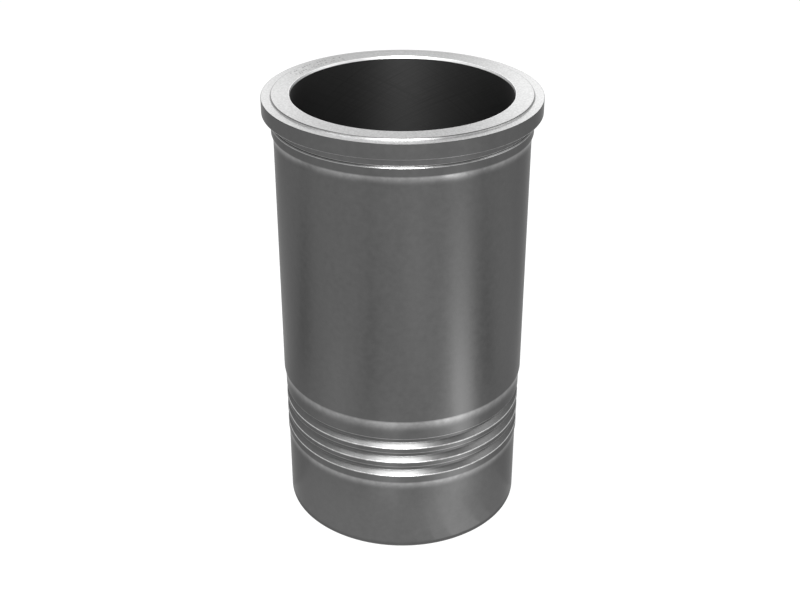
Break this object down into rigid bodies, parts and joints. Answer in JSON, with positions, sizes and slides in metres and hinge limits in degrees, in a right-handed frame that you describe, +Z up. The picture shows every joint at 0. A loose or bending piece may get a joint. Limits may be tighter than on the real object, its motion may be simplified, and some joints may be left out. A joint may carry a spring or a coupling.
{
  "type": "engine cylinder liner",
  "caption": "Flanged wet cylinder liner for a heavy diesel engine: honed bore, raised fire ridge, pilot land under the flange, and seal grooves above a plain skirt.",
  "frame": {"origin": "middle of the foot, on the axis of the bore", "axes": "+Z up the bore, from the foot to the flange; X and Y are free, because the sleeve is round"},
  "size_m": [0.1725, 0.1726, 0.2883],
  "materials": {
    "liner_iron": "turned outside, ground on top, honed inside"
  },
  "bodies": {
    "root": {"cylinder_liner": "liner_iron"}
  },
  "joints": []
}
